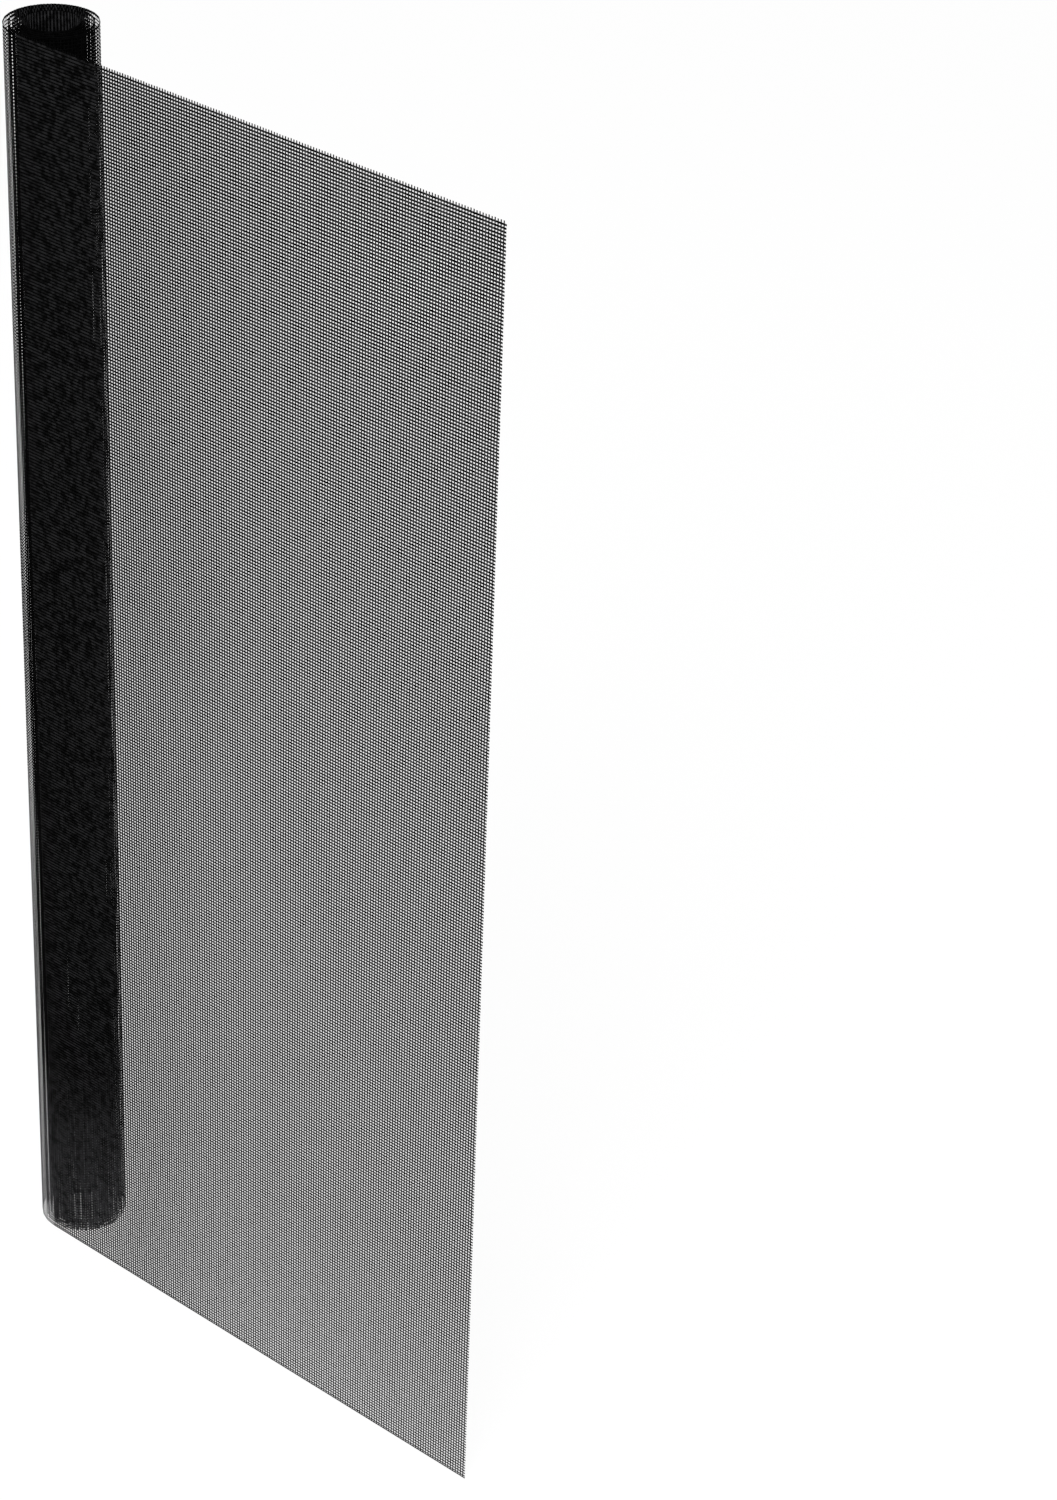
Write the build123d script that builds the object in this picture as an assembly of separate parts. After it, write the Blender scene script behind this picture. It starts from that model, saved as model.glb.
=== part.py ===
from build123d import *
import math
import os

os.makedirs("parts", exist_ok=True)

# Driving dimensions, in millimetres. The roll's axis is Z, its lower end is at Z = 0, and the
# flat end of the sheet runs off along +X in front of the roll.
WIDTH = 610.0  # width of the screen off the loom, upright here: 24 in
FLAP = 268.0  # straight end that runs off the roll at a tangent
ROLL_R = 20.5  # outside of the outermost turn
TURN_STEP = 2.05  # from each turn to the next one inside it
TURNS = 5  # the last of them, round the hollow, isn't a whole one
LAST_TURN_DEG = 275.0  # how far round the last turn goes
GAPS_ACROSS = 7  # gaps of the drawn weave along the flat end
GAPS_UP = 17  # gaps of the drawn weave up the flat end
BAND = 18.0  # width of a drawn band of yarns, which leaves gaps over a fifth of the flat end
YARNS_IN_BAND = 5  # ridges that show the yarns of a band
YARN_STEP = 3.6  # from one ridge to the next
YARN = 1.8  # width of a ridge
HOOP_DEG = 345.0  # how far round the outermost turn its bands go
STAVES = 3  # upright bands on the outermost turn

# Depths into the sheet from its outer face.
BAND_FRONT = 0.3  # the ridges of the lengthwise yarns stand proud in front of this
BAND_BACK = 0.9  # the ridges of the upright yarns stand proud behind this
WALL_FRONT = 0.6  # the closed wall of the roll
SHEET = 1.2  # whole thickness, at the back of the wall and of the ridges
ROOT = 0.1  # how far a ridge goes into its band

pitch_across = (FLAP - BAND) / GAPS_ACROSS
pitch_up = (WIDTH - BAND) / GAPS_UP
bore_r = ROLL_R - (TURNS - 1) * TURN_STEP - SHEET


def on_turn(centre_y, radius, degrees):
    """A point in plan on a turn, which starts at the front and goes round by the left."""
    turned = math.radians(degrees)
    return (-radius * math.sin(turned), centre_y - radius * math.cos(turned))


def arc(centre_y, radius, start, end):
    """Part of a turn in plan, between two angles."""
    angles = (start, (start + end) / 2, end)
    return ThreePointArc(*[on_turn(centre_y, radius, a) for a in angles])


def turn(radius, end=360):
    """One turn in plan: a half circle about the axis and a smaller one about a point behind it,
    which leads smoothly into the next turn, one step further in."""
    return [arc(0, radius, 0, 180), arc(TURN_STEP / 2, radius - TURN_STEP / 2, 180, end)]


def straight(radius):
    """The start of a line in plan, along the first upright band of the flat end."""
    return Line((BAND, -radius), (0, -radius))


def standing(outside, inside, height):
    """The wall between two lines in plan, standing on Z = 0."""
    ends = [Line(outside[0] @ 0, inside[0] @ 0), Line(outside[-1] @ 1, inside[-1] @ 1)]
    return extrude(Face(Wire(outside + inside + ends)), height, dir=(0, 0, 1))


def roll_wall():
    """All the turns in one length. The last one is round about the axis, for the hollow."""
    lines = []
    for depth in (WALL_FRONT, SHEET):
        radius = ROLL_R - depth
        line = [straight(radius)]
        for _ in range(TURNS - 1):
            line += turn(radius)
            radius -= TURN_STEP
        lines.append(line + [arc(0, radius, 0, LAST_TURN_DEG)])
    return standing(*lines, WIDTH)


def flat_end():
    """The flat end with the gaps of its weave, and ridges for the yarns in each band."""
    gap = Rectangle(pitch_across - BAND, pitch_up - BAND)
    gaps = [spot * gap for spot in GridLocations(pitch_across, pitch_up, GAPS_ACROSS, GAPS_UP)]
    middle = Plane((FLAP / 2, -ROLL_R + BAND_FRONT, WIDTH / 2), x_dir=(1, 0, 0), z_dir=(0, 1, 0))
    lattice = extrude(middle * (Rectangle(FLAP, WIDTH) - gaps), BAND_BACK - BAND_FRONT)

    from_front = (Align.CENTER, Align.MIN, Align.CENTER)
    lengthwise = Box(FLAP, BAND_FRONT + ROOT, YARN, align=from_front)
    upright = Box(YARN, SHEET - BAND_BACK + ROOT, WIDTH, align=from_front)
    ridges = []
    for yarn in range(YARNS_IN_BAND):
        aside = BAND / 2 + (yarn - (YARNS_IN_BAND - 1) / 2) * YARN_STEP
        for row in range(GAPS_UP + 1):
            ridges.append(Pos(FLAP / 2, -ROLL_R, aside + row * pitch_up) * lengthwise)
        for column in range(GAPS_ACROSS + 1):
            place = (aside + column * pitch_across, -ROLL_R + BAND_BACK - ROOT, WIDTH / 2)
            ridges.append(Pos(*place) * upright)
    return lattice.fuse(*ridges)


def hoops():
    """The lengthwise bands go on round the outermost turn as ridges."""
    sides = []
    for depth in (BAND_FRONT, BAND_BACK):
        radius = ROLL_R - depth
        sides.append([straight(radius)] + turn(radius, HOOP_DEG))
    hoop = standing(*sides, BAND)
    return [Pos(0, 0, row * pitch_up) * hoop for row in range(GAPS_UP + 1)]


def staves():
    """The upright bands go on round the outermost turn, in step with those of the flat end."""
    half_band = math.degrees(BAND / 2 / ROLL_R)
    step = math.degrees(pitch_across / ROLL_R)
    bands = []
    for stave in range(STAVES):
        middle = (stave + 1) * step - half_band
        centre_y = 0 if middle < 180 else TURN_STEP / 2
        sides = []
        for depth in (BAND_FRONT, BAND_BACK):
            radius = ROLL_R - centre_y - depth
            sides.append([arc(centre_y, radius, middle - half_band, middle + half_band)])
        bands.append(standing(*sides, WIDTH))
    return bands


screen = roll_wall().fuse(flat_end(), *hoops(), *staves()).clean()

export_step(screen, "parts/screen_roll.step")
print("gaps", GAPS_ACROSS * GAPS_UP, "bore radius", round(bore_r, 3), "solids", len(screen.solids()))
print("volume", round(screen.volume), screen.bounding_box())
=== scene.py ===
# %% [markdown]
# # A roll of insect screen
# The object is one length of black woven mesh. It is wound loosely into a hollow roll that
# stands on its cut edge, and its outer end runs off flat. The solid model holds the form and a
# coarse drawing of the weave. Here every yarn is made, about four hundred of them up the sheet,
# because at this scale the light that falls between the yarns is the look of the thing.

# %% Load the solid model as a fixed frame
import math
import random

import bmesh
import bpy
from mathutils import Matrix, Vector


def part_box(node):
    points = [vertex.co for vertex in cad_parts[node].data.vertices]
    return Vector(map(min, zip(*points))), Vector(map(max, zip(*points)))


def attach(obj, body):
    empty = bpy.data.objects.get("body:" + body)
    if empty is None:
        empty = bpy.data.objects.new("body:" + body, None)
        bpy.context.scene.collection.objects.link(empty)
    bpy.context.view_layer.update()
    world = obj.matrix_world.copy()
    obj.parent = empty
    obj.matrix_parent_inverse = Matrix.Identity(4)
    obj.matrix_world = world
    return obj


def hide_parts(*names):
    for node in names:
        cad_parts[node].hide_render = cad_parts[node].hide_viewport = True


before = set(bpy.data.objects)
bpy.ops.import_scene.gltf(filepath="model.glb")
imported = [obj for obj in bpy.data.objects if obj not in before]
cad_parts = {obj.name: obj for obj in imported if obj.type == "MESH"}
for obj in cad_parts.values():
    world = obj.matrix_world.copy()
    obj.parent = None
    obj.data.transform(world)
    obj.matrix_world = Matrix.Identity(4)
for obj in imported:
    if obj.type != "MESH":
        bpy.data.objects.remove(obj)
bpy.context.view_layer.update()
low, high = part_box("screen_roll")
WIDTH = high.z - low.z
ROLL_R = -low.y
FLAP = high.x
print("sheet", round(WIDTH, 4), "m high, roll radius", round(ROLL_R, 4), "flat end", round(FLAP, 4))

# %% [markdown]
# ## The camera
# The photograph looks down on the roll from the right of the flat end's face. A camera could be
# aimed with a constraint, but three plain turns say the same: how far round, how far up, and a
# small lean of the camera itself. They are multiplied in that order, and the last one acts first.
# The focal length is given in picture heights, because Blender fits its sensor to the picture's
# longer side.

# %% Place the camera
CAMERA_ROUND = math.radians(40.073)
CAMERA_UP = math.radians(30.864)
CAMERA_LEAN = math.radians(2.248)
CAMERA_DISTANCE = 1.6534
CAMERA_AIM = Vector((0.2715, 0.0, 0.3738))
CAMERA_REACH = 50
FOCAL_IN_PICTURE_HEIGHTS = 4090.5 / 1500

turn = Matrix.Rotation(CAMERA_ROUND, 4, "Z") @ Matrix.Rotation(math.pi / 2 - CAMERA_UP, 4, "X")
turn = turn @ Matrix.Rotation(CAMERA_LEAN, 4, "Z")
camera = bpy.data.objects.new("camera", bpy.data.cameras.new("camera"))
camera.data.lens = FOCAL_IN_PICTURE_HEIGHTS * camera.data.sensor_width
camera.data.clip_end = CAMERA_REACH
camera.matrix_world = Matrix.Translation(CAMERA_AIM) @ turn @ Matrix.Translation((0, 0, CAMERA_DISTANCE))
bpy.context.scene.collection.objects.link(camera)
bpy.context.scene.camera = camera
print("camera at", [round(v, 3) for v in camera.matrix_world.translation])

# %% [markdown]
# ## Floor and light
# The roll stands in a white studio. The world is a plain white sky that lights from all round,
# and one broad lamp gives a direction. The floor is pale, and shows the camera mostly its own
# white, so that it keeps a faint shadow and the mesh is seen against white. A stronger lamp would
# whiten the floor too, but it would also lift the black of the yarns.

# %% Lay the floor
FLOOR_HALF = 9.0
FLOOR_COLOUR = (0.95, 0.95, 0.95, 1)
FLOOR_SHOWN_WHITE = 0.9


def seen_by_eye(tree):
    """One where a ray comes from the camera, a mirror or a glass, and nought for scattered light."""
    path = tree.nodes.new("ShaderNodeLightPath")
    seen = path.outputs["Is Camera Ray"]
    for kind in ("Is Glossy Ray", "Is Transmission Ray"):
        either = tree.nodes.new("ShaderNodeMath")
        either.operation = "MAXIMUM"
        tree.links.new(seen, either.inputs[0])
        tree.links.new(path.outputs[kind], either.inputs[1])
        seen = either.outputs[0]
    return seen


def floor_material():
    material = bpy.data.materials.new("studio_floor")
    material.use_nodes = True
    tree = material.node_tree
    tree.nodes.clear()
    paper = tree.nodes.new("ShaderNodeBsdfDiffuse")
    paper.inputs["Color"].default_value = FLOOR_COLOUR
    glow = tree.nodes.new("ShaderNodeEmission")
    share = tree.nodes.new("ShaderNodeMath")
    share.operation = "MULTIPLY"
    share.inputs[1].default_value = FLOOR_SHOWN_WHITE
    tree.links.new(seen_by_eye(tree), share.inputs[0])
    mix = tree.nodes.new("ShaderNodeMixShader")
    tree.links.new(share.outputs[0], mix.inputs[0])
    tree.links.new(paper.outputs[0], mix.inputs[1])
    tree.links.new(glow.outputs[0], mix.inputs[2])
    out = tree.nodes.new("ShaderNodeOutputMaterial")
    tree.links.new(mix.outputs[0], out.inputs["Surface"])
    return material


floor_shape = bmesh.new()
bmesh.ops.create_grid(floor_shape, x_segments=1, y_segments=1, size=FLOOR_HALF)
floor_mesh = bpy.data.meshes.new("floor")
floor_shape.to_mesh(floor_mesh)
floor_shape.free()
floor_mesh.materials.append(floor_material())
floor = bpy.data.objects.new("floor", floor_mesh)
bpy.context.scene.collection.objects.link(floor)
print("floor", 2 * FLOOR_HALF, "m across")

# %% Light the sky
SKY_LIGHT = 0.75
SKY_SHOWN = 1.0

world = bpy.data.worlds.new("studio")
world.use_nodes = True
bpy.context.scene.world = world
sky = world.node_tree.nodes["Background"]
sky.inputs["Color"].default_value = (1, 1, 1, 1)
sky_level = world.node_tree.nodes.new("ShaderNodeMapRange")
sky_level.inputs["To Min"].default_value = SKY_LIGHT
sky_level.inputs["To Max"].default_value = SKY_SHOWN
world.node_tree.links.new(seen_by_eye(world.node_tree), sky_level.inputs["Value"])
world.node_tree.links.new(sky_level.outputs["Result"], sky.inputs["Strength"])
print("sky lights at", SKY_LIGHT, "and shows as", SKY_SHOWN)

# %% Hang the lamp
LAMP_SIZE = 1.6
LAMP_WATTS = 60
LAMP_PLACE = Vector((0.9, -1.5, 1.9))

lamp_data = bpy.data.lights.new("soft_box", "AREA")
lamp_data.shape = "DISK"
lamp_data.size = LAMP_SIZE
lamp_data.energy = LAMP_WATTS
lamp = bpy.data.objects.new("soft_box", lamp_data)
middle = Vector((FLAP / 2, 0, WIDTH / 2))
facing = (middle - LAMP_PLACE).to_track_quat("-Z", "Y").to_matrix().to_4x4()
lamp.matrix_world = Matrix.Translation(LAMP_PLACE) @ facing
bpy.context.scene.collection.objects.link(lamp)
bpy.context.scene.view_settings.view_transform = "Standard"
print("one lamp of", LAMP_WATTS, "W")

# %% [markdown]
# ## The run of the sheet
# Seen from above, the sheet is a straight line that leads into a spiral. The spiral is made of
# half circles: those on the left turn about the roll's axis, those on the right about a point a
# little behind it, so that each turn leads into the next one further in. A spiral curve would do
# too, but half circles can be made with the spin operator alone. The step between turns decides
# how the rows of one turn fall against those of the next: from above they fill each other's gaps,
# and lower down they line up, so that light comes through at the foot of the roll.

# %% Name the sizes of the weave and the spiral
TURN_STEP = 0.00205
TURNS = 5
LAST_TURN = math.radians(275)
ROWS = 404
row_step = WIDTH / ROWS


def half_turns():
    """The bends of the run, from the flat end inwards: centre's Y, radius at the outer face, angle."""
    bends, radius = [], ROLL_R
    for _ in range(TURNS - 1):
        bends.append((0.0, radius, math.pi))
        bends.append((TURN_STEP / 2, radius - TURN_STEP / 2, math.pi))
        radius -= TURN_STEP
    bends.append((0.0, radius, LAST_TURN))
    return bends


roll_run = sum(radius * angle for _, radius, angle in half_turns())
print("flat end", round(FLAP, 3), "m, in the roll", round(roll_run, 3), "m")
print("from row to row", round(row_step * 1000, 3), "mm")

# %% [markdown]
# ## The finish of the yarn
# The yarn is glass thread in a black plastic coat. The coat is nearly black, with patches a
# little greyer where it is rubbed. Under it the thread is twisted, which shows as a fine slanting
# wave. Both could be painted on an image, but nodes on the object's own coordinates stay sharp on
# a yarn of half a millimetre. The same nodes serve five coats. On the flat end's lengthwise
# yarns the patches are lighter, as painted sheen. Each coat has zones of painted light that grow
# greyer towards an edge: all are greyer at the foot, as painted light from the floor; the inner
# faces of the roll's uprights at the rim, as painted light where light falls in from above; and the
# roll's rows at the back left, as painted sheen. A dot product measures how far into a zone a point
# is, and the patches break the zone up, so that it has no line for an edge.

# %% Name the zones of painted light on the coat
# The painted light at the foot, which stands for light from the floor, fades out over this height.
PAINTED_FOOT_LIGHT_HEIGHT = 0.10
# The painted light inside the rim, where light falls in from above, fades out over this depth from the
# top.
PAINTED_RIM_LIGHT_HEIGHT = 0.03
# The painted sheen on the roll's back left is full from this far past the axis on that side.
PAINTED_SHEEN_DEPTH = 0.012
UP = Vector((0, 0, 1))
# The side of the roll, back left, that takes painted sheen.
PAINTED_SHEEN_SIDE = Vector((-0.64, 0.77, 0))

# Each zone of painted light has a direction, where it starts and where it is full along that, and how
# grey it gets.
# Painted light at the foot of every coat, lighter towards the floor.
PAINTED_FOOT_LIGHT = (UP, PAINTED_FOOT_LIGHT_HEIGHT, 0, 0.045)
# Stronger painted light at the foot, for the outer faces of the roll's uprights.
PAINTED_FOOT_STREAK_LIGHT = (UP, PAINTED_FOOT_LIGHT_HEIGHT, 0, 0.25)
# Painted light at the rim, on the inner faces of the roll's uprights.
PAINTED_RIM_LIGHT = (UP, WIDTH - PAINTED_RIM_LIGHT_HEIGHT, WIDTH, 0.020)
# Painted sheen on the roll's rows at the back left.
PAINTED_SHEEN_ZONE = (PAINTED_SHEEN_SIDE, 0, PAINTED_SHEEN_DEPTH, 0.035)
# Prints the heights of the painted light at the foot and at the rim.
print("greyer over the lowest", PAINTED_FOOT_LIGHT_HEIGHT, "m and the highest", PAINTED_RIM_LIGHT_HEIGHT, "m")

# %% Make the nodes of a coat
DARKEST = 0.0003
BLUER = 1.05
PATCH_SCALE = 420
PATCH_DETAIL = 4
PATCH_START, PATCH_END = 0.38, 0.62
# The least share of a zone's painted light, in the darkest patches.
LEAST_PAINTED_LIGHT = 0.2
SMOOTHEST, ROUGHEST = 0.45, 0.7
TWIST_SCALE = 600
TWIST_WAVER = 1.5
TWIST_STRENGTH = 0.4
TWIST_DEPTH = 0.00004


def grey(level):
    return (level, level, level * BLUER, 1)


def map_range(tree, value, from_range, to_range):
    """A value carried over from one range to another, and kept within it."""
    carried = tree.nodes.new("ShaderNodeMapRange")
    carried.inputs["From Min"].default_value, carried.inputs["From Max"].default_value = from_range
    carried.inputs["To Min"].default_value, carried.inputs["To Max"].default_value = to_range
    tree.links.new(value, carried.inputs["Value"])
    return carried.outputs["Result"]


def patched(tree, patch, light):
    """The coat's black, with patches up to a lighter level."""
    colour = tree.nodes.new("ShaderNodeValToRGB")
    # The lighter patches are wear, and on the flat end's lengthwise yarns they are painted sheen.
    black, wear_and_painted_sheen = colour.color_ramp.elements
    black.position, black.color = PATCH_START, grey(DARKEST)
    wear_and_painted_sheen.position, wear_and_painted_sheen.color = PATCH_END, grey(light)
    tree.links.new(patch, colour.inputs["Fac"])
    return colour.outputs["Color"]


def painted_light_in(tree, zone, place, painted_light_patches, shade):
    """The shade, made greyer by a zone's painted light, which the patches break up."""
    direction, start, end, level = zone
    along = tree.nodes.new("ShaderNodeVectorMath")
    along.operation = "DOT_PRODUCT"
    along.inputs[1].default_value = direction
    tree.links.new(place, along.inputs[0])
    share = tree.nodes.new("ShaderNodeMath")
    share.operation = "MULTIPLY"
    tree.links.new(map_range(tree, along.outputs["Value"], (start, end), (0, 1)), share.inputs[0])
    tree.links.new(painted_light_patches, share.inputs[1])
    greyer = tree.nodes.new("ShaderNodeMix")
    greyer.data_type = "RGBA"
    greyer.inputs["B"].default_value = grey(level)
    tree.links.new(share.outputs[0], greyer.inputs["Factor"])
    tree.links.new(shade, greyer.inputs["A"])
    return greyer.outputs["Result"]


def twisted(tree, place):
    """The relief of the thread's twist."""
    twist = tree.nodes.new("ShaderNodeTexWave")
    twist.bands_direction = "DIAGONAL"
    twist.inputs["Scale"].default_value = TWIST_SCALE
    twist.inputs["Distortion"].default_value = TWIST_WAVER
    tree.links.new(place, twist.inputs["Vector"])
    relief = tree.nodes.new("ShaderNodeBump")
    relief.inputs["Strength"].default_value = TWIST_STRENGTH
    relief.inputs["Distance"].default_value = TWIST_DEPTH
    tree.links.new(twist.outputs["Fac"], relief.inputs["Height"])
    return relief.outputs["Normal"]


def coated_yarn(name, light, sheen, zones):
    material = bpy.data.materials.new(name)
    material.use_nodes = True
    tree = material.node_tree
    shader = tree.nodes["Principled BSDF"]
    place = tree.nodes.new("ShaderNodeTexCoord").outputs["Object"]
    noise = tree.nodes.new("ShaderNodeTexNoise")
    noise.inputs["Scale"].default_value = PATCH_SCALE
    noise.inputs["Detail"].default_value = PATCH_DETAIL
    tree.links.new(place, noise.inputs["Vector"])
    patch = noise.outputs["Fac"]

    shade = patched(tree, patch, light)
    # Patches that break up the painted light of the zones.
    painted_light_patches = map_range(tree, patch, (PATCH_START, PATCH_END), (LEAST_PAINTED_LIGHT, 1))
    for zone in zones:
        shade = painted_light_in(tree, zone, place, painted_light_patches, shade)
    tree.links.new(shade, shader.inputs["Base Color"])
    tree.links.new(map_range(tree, patch, (0, 1), (SMOOTHEST, ROUGHEST)), shader.inputs["Roughness"])
    tree.links.new(twisted(tree, place), shader.inputs["Normal"])
    shader.inputs["Specular IOR Level"].default_value = sheen
    return material


# %% Make the coats
# The lengthwise yarns of the flat end have a lighter black, which is painted sheen on top of their real
# gloss.
BLACK, BLACK_WITH_PAINTED_SHEEN = 0.0016, 0.0150
DULL, GLOSSY = 0.008, 0.010

# Every coat has the yarn's real black with painted light at the foot. Some also have painted light at
# the rim or painted sheen.
COATS = [
    coated_yarn("deep_black_coat", BLACK, DULL, [PAINTED_FOOT_LIGHT]),
    coated_yarn("black_coat_with_painted_sheen", BLACK_WITH_PAINTED_SHEEN, GLOSSY, [PAINTED_FOOT_LIGHT]),
    coated_yarn("black_coat_painted_light_at_rim", BLACK, DULL, [PAINTED_FOOT_LIGHT, PAINTED_RIM_LIGHT]),
    coated_yarn("black_coat_painted_light_at_foot", BLACK, DULL, [PAINTED_FOOT_STREAK_LIGHT]),
    coated_yarn("black_coat_painted_sheen_behind", BLACK, GLOSSY, [PAINTED_FOOT_LIGHT, PAINTED_SHEEN_ZONE]),
]
DEEP, WITH_PAINTED_SHEEN, PAINTED_LIGHT_AT_RIM, PAINTED_LIGHT_AT_FOOT, PAINTED_SHEEN_BEHIND = range(len(COATS))
print("coats", [coat.name for coat in COATS])

# %% [markdown]
# ## The section of a yarn
# A round rod hides what is behind it most where it is seen from the side. The coated yarns of
# such a screen are pressed flat at their crossings, and a flat yarn hides the same share from
# every side, so the outline of the roll stays see-through. The section is a circle squeezed
# through the sheet, drawn as a ring of edges across X. Lengthwise yarns are wider than upright
# ones, because their lines are what shows on the flat end. The roll's are narrower than the flat
# end's, so that some light comes through all its turns, but round the hollow, which is dark, they
# are wider again. The faces on a yarn's back can have a coat of their own.

# %% Draw the section
# Each size is a width up or along the sheet, and a thickness through it.
FLAT_LENGTHWISE = (0.00084, 0.00020)
FLAT_UPRIGHT = (0.00066, 0.00020)
ROLL_LENGTHWISE = (0.00060, 0.00012)
ROLL_UPRIGHT = (0.00052, 0.00012)
INNER_LENGTHWISE = (0.00120, 0.00012)
INNER_UPRIGHT = (0.00076, 0.00012)
FLAT_SIDES = 8
ROLL_SIDES = 4


def section(shape, place, size, sides):
    """A flattened ring of edges across X, wide along Z and thin along Y."""
    squeeze = Matrix.Diagonal((size[0] / 2, size[1] / 2, 1, 1))
    across = Matrix.Translation(place) @ Matrix.Rotation(math.pi / 2, 4, "Y") @ squeeze
    ring = bmesh.ops.create_circle(shape, segments=sides, radius=1, matrix=across)
    return list({edge for vert in ring["verts"] for edge in vert.link_edges})


def finished(shape, name, coat, back, back_coat):
    """The yarn as a mesh, its open ends filled, with a coat for the faces that look to its back."""
    open_edges = [edge for edge in shape.edges if edge.is_boundary]
    bmesh.ops.holes_fill(shape, edges=open_edges, sides=0)
    bmesh.ops.recalc_face_normals(shape, faces=shape.faces)
    for face in shape.faces:
        face.material_index = back_coat if face.normal.dot(back) > 0 else coat
    mesh = bpy.data.meshes.new(name)
    shape.to_mesh(mesh)
    shape.free()
    return mesh


print("yarns of the flat end", FLAT_LENGTHWISE[0] * 1000, "and", FLAT_UPRIGHT[0] * 1000, "mm wide")

# %% [markdown]
# ## One yarn of each kind
# Each kind is made once and stamped along the sheet afterwards. Extrude draws a ring straight,
# and spin carries it round each half turn. The operators work through the whole mesh they are
# given, so they are quick on one small yarn and slow on four hundred. The spin has finer steps
# round the hollow, because a long chord there would dip in front of the upright yarns.

# %% Make a straight yarn and a rolled yarn
WARP_DEPTH = 0.0003  # middle of the lengthwise yarns, behind the sheet's outer face
SPIN_LENGTH = 0.0055  # longest chord of a spin
INNER_SPIN_LENGTH = 0.0025
INNER_BENDS = 2  # bends round the hollow, with wide yarns
INWARD = Vector((0, 1, 0))


def straight_yarn(size, sides, coat, back_coat):
    """A yarn one metre long from the origin along X, to be scaled to its length."""
    shape = bmesh.new()
    drawn = bmesh.ops.extrude_edge_only(shape, edges=section(shape, (0, 0, 0), size, sides))
    moved = [item for item in drawn["geom"] if isinstance(item, bmesh.types.BMVert)]
    bmesh.ops.translate(shape, verts=moved, vec=(1, 0, 0))
    return finished(shape, "straight_yarn", coat, INWARD, back_coat)


def rolled_yarn(bends, size, sides, coat, back_coat, spin_length):
    """A yarn round some of the bends, from where the first of them starts."""
    shape = bmesh.new()
    first_y, first_radius, _ = bends[0]
    start_y = first_y + first_radius - WARP_DEPTH if first_y else WARP_DEPTH - first_radius
    ring = section(shape, (0, start_y, 0), size, sides)
    for centre_y, radius, angle in bends:
        spun = bmesh.ops.spin(
            shape,
            geom=ring,
            cent=(0, centre_y, 0),
            axis=(0, 0, -1),
            angle=angle,
            steps=math.ceil(angle * radius / spin_length),
        )
        ring = [item for item in spun["geom_last"] if isinstance(item, bmesh.types.BMEdge)]
    return finished(shape, "rolled_yarn", coat, PAINTED_SHEEN_SIDE, back_coat)


# The flat end's lengthwise yarns take the coat with painted sheen.
flat_lengthwise = straight_yarn(FLAT_LENGTHWISE, FLAT_SIDES, WITH_PAINTED_SHEEN, WITH_PAINTED_SHEEN)
flat_upright = straight_yarn(FLAT_UPRIGHT, FLAT_SIDES, DEEP, DEEP)
# The roll's uprights have painted light at the foot on their outer faces and painted light at the rim on
# their inner faces.
roll_upright = straight_yarn(ROLL_UPRIGHT, ROLL_SIDES, PAINTED_LIGHT_AT_FOOT, PAINTED_LIGHT_AT_RIM)
inner_upright = straight_yarn(INNER_UPRIGHT, ROLL_SIDES, PAINTED_LIGHT_AT_FOOT, PAINTED_LIGHT_AT_RIM)
outer_bends, inner_bends = half_turns()[:-INNER_BENDS], half_turns()[-INNER_BENDS:]
# The rolled yarn's faces towards the back left take the coat with painted sheen.
rolled = rolled_yarn(outer_bends, ROLL_LENGTHWISE, ROLL_SIDES, DEEP, PAINTED_SHEEN_BEHIND, SPIN_LENGTH)
inner_rolled = rolled_yarn(inner_bends, INNER_LENGTHWISE, ROLL_SIDES, DEEP, DEEP, INNER_SPIN_LENGTH)
print("straight yarn", len(flat_upright.polygons), "faces, rolled yarn", len(rolled.polygons), "faces")

# %% [markdown]
# ## Stamp the yarns
# A stamp is a copy of a yarn, moved to its place and joined to the piece. No loom sets every yarn
# exactly and no blade cuts them all to one length, so each is shifted and shortened by a little
# chance, from a seed that makes the chance the same each time. The first row lies along the foot,
# and the cut ends stand a step past the last one. The mesh is darker at the top and near the roll,
# so there the yarns are a little wider. The roll's uprights are shifted most, which leaves the
# uneven slits that show as streaks at its foot.

# %% Lay the lengthwise yarns of the flat end
SHEET_SEED = 24
SHIFT = 0.00002  # how far a yarn may be out of place
FRAY = 0.0002  # how much shorter a yarn may be cut
FOOT_ROW = 0.00045  # middle of the first row, above the floor
FOOT_WIDTH, TOP_WIDTH = 0.90, 1.10  # shares of a yarn's width
chance = random.Random(SHEET_SEED)


def stamp(shape, yarn, matrix):
    copy = yarn.copy()
    copy.transform(matrix)
    shape.from_mesh(copy)
    bpy.data.meshes.remove(copy)


def height_of(row):
    """The middle of a row, from the first one, along the foot, to one a step below the cut ends."""
    return max(row * row_step, FOOT_ROW) + chance.uniform(-SHIFT, SHIFT)


def lay_flat_end(shape):
    for row in range(ROWS):
        wide = FOOT_WIDTH + (TOP_WIDTH - FOOT_WIDTH) * row / ROWS
        place = Matrix.Translation((0, -ROLL_R + WARP_DEPTH, height_of(row)))
        length = FLAP - chance.uniform(0, FRAY)
        stamp(shape, flat_lengthwise, place @ Matrix.Diagonal((length, 1, wide, 1)))


flat_shape = bmesh.new()
lay_flat_end(flat_shape)
print("lengthwise yarns", ROWS)

# %% Stand the upright yarns of the flat end
WEFT_DEPTH = 0.0005  # middle of the upright yarns, behind the sheet's outer face
FREE_WIDTH, WIDENING, WIDEST = 0.97, 0.53, 1.20  # shares of a yarn's width
WIDENING_POWER = 3  # keeps the widening close to the roll


def stand(length, wide):
    """Turn a yarn that lies along X upright, and give it its length."""
    return Matrix.Rotation(-math.pi / 2, 4, "Y") @ Matrix.Diagonal((length, 1, wide, 1))


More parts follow.
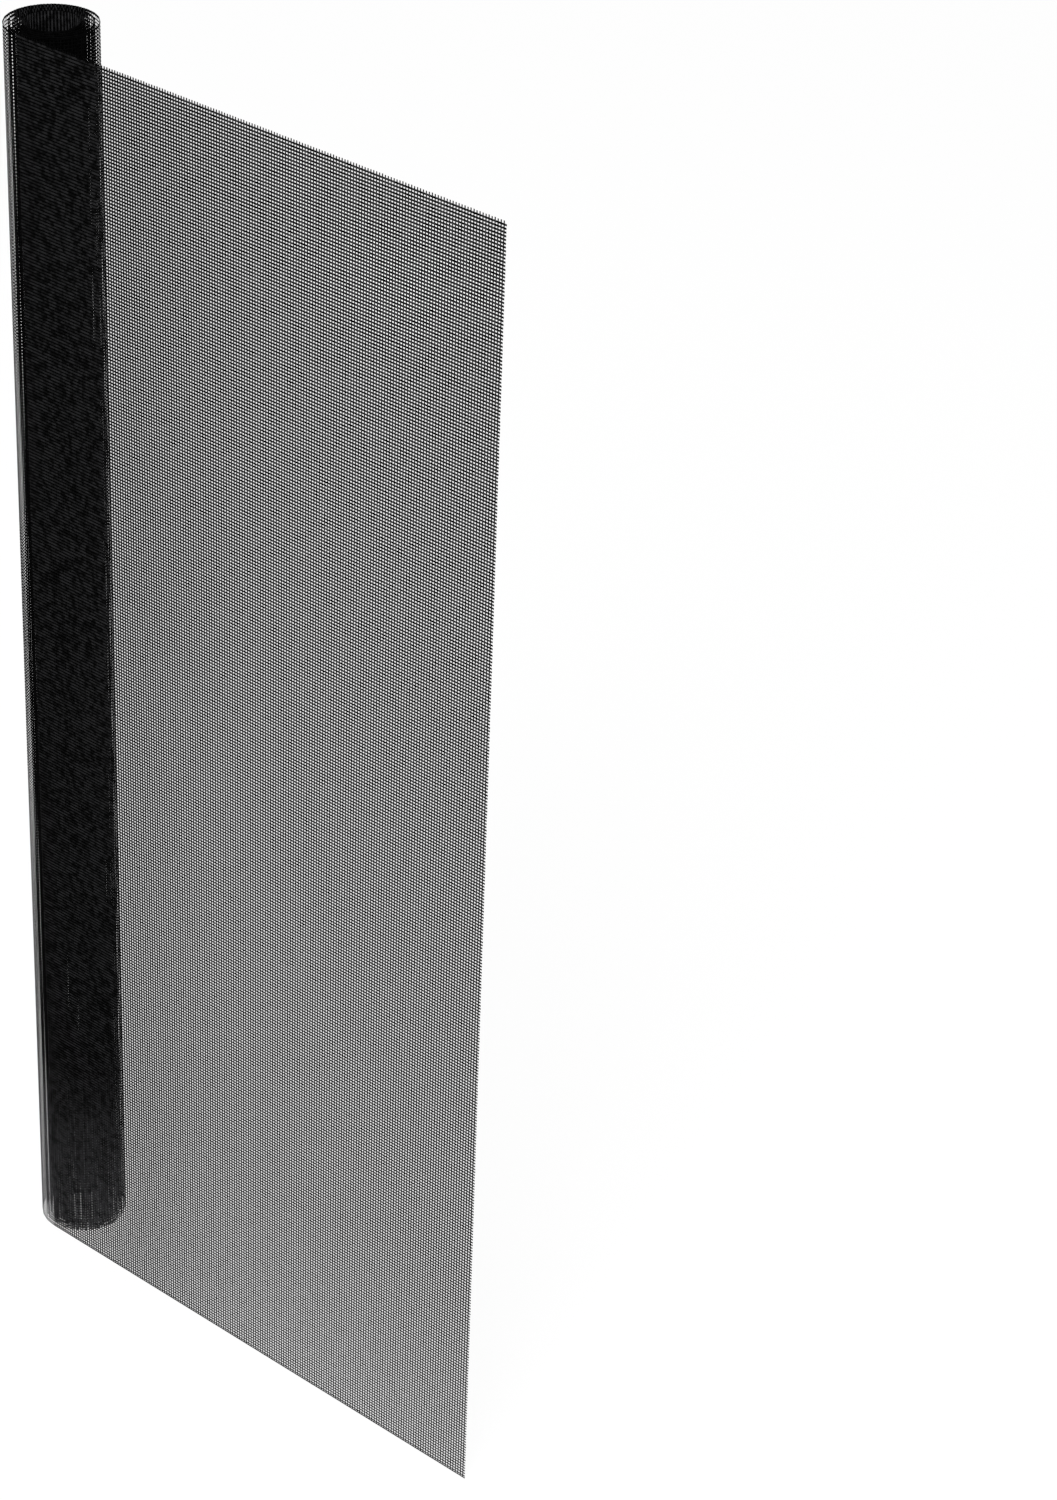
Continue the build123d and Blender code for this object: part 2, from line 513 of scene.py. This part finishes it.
def stand_flat_end(shape):
    """Uprights from the free edge to the roll, wider and wider towards it."""
    columns = int(FLAP / row_step)
    for column in range(columns):
        x = FLAP - (column + 1) * row_step + chance.uniform(-SHIFT, SHIFT)
        place = Matrix.Translation((x, -ROLL_R + WEFT_DEPTH, 0))
        wide = min(FREE_WIDTH + WIDENING * (column / columns) ** WIDENING_POWER, WIDEST)
        stamp(shape, flat_upright, place @ stand(WIDTH - chance.uniform(0, FRAY), wide))
    return columns


print("upright yarns of the flat end", stand_flat_end(flat_shape))

# %% Stand the upright yarns of the roll
# The slits between the shifted uprights let light through at the foot. The painted light on the
# uprights' outer faces there makes the streaks lighter.
ROLL_SEED = 9
ROLL_SHIFT = 0.00022


def stand_roll(shape, bottom, height):
    """The same uprights in each band of the roll, so that they go on from one to the next."""
    same_chance = random.Random(ROLL_SEED)
    along, count = row_step / 2, 0
    for bend in half_turns():
        centre_y, radius, angle = bend
        innermost = bend == inner_bends[-1]
        yarn = inner_upright if innermost else roll_upright
        reach = SHIFT if innermost else ROLL_SHIFT
        while along < radius * angle:
            shifted = along + same_chance.uniform(-reach, reach)
            turned = shifted / radius + (math.pi if centre_y else 0)
            about = Matrix.Translation((0, centre_y, 0)) @ Matrix.Rotation(-turned, 4, "Z")
            place = Matrix.Translation((0, -radius + WEFT_DEPTH, bottom))
            stamp(shape, yarn, about @ place @ stand(height, 1))
            along += row_step
            count += 1
        along -= radius * angle
    return count


print("uprights of the roll are shifted by up to", ROLL_SHIFT * 1000, "mm")

# %% [markdown]
# ## The pieces of the sheet
# The flat end is one piece and the roll is cut into bands by height, so that no piece has too
# many faces to handle. The roll's uprights end a little below the flat end's, and one row more
# lies just under their ends, because the rim of the roll is dark.

# %% Make the pieces
ROLL_BANDS = 2
ROLL_SET_IN = 0.0005  # how far the roll's cut ends stay below the flat end's
RIM_ROW = 0.0009  # middle of the row at the rim, below the flat end's cut ends


def piece_from(shape, name):
    mesh = bpy.data.meshes.new(name)
    shape.to_mesh(mesh)
    shape.free()
    for coat in COATS:
        mesh.materials.append(coat)
    mesh.shade_smooth()
    piece = bpy.data.objects.new(name, mesh)
    bpy.context.scene.collection.objects.link(piece)
    triangles = sum(len(face.vertices) - 2 for face in mesh.polygons)
    print(name, triangles, "triangles")
    return piece


def roll_piece(band):
    shape = bmesh.new()
    first, last = ROWS * band // ROLL_BANDS, ROWS * (band + 1) // ROLL_BANDS
    heights = [height_of(row) for row in range(first, last)]
    cut = 0
    if last == ROWS:
        heights.append(WIDTH - RIM_ROW)
        cut = ROLL_SET_IN
    for height in heights:
        place = Matrix.Translation((0, 0, height))
        stamp(shape, rolled, place)
        stamp(shape, inner_rolled, place)
    band_height = WIDTH / ROLL_BANDS
    print("upright yarns of the roll", stand_roll(shape, band * band_height, band_height - cut))
    return piece_from(shape, f"roll_band_{band + 1}")


flat_end = piece_from(flat_shape, "flat_end")
roll_bands = [roll_piece(band) for band in range(ROLL_BANDS)]

# %% [markdown]
# ## Hand the pieces to the frame
# Every piece rides on the one body of the model and takes the place of its solid.

# %% Attach each piece to the body
for piece in [flat_end] + roll_bands:
    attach(piece, "root")
    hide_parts("screen_roll")
print("sheet of", round(FLAP + roll_run, 3), "by", round(WIDTH, 3), "m in", 1 + ROLL_BANDS, "pieces")
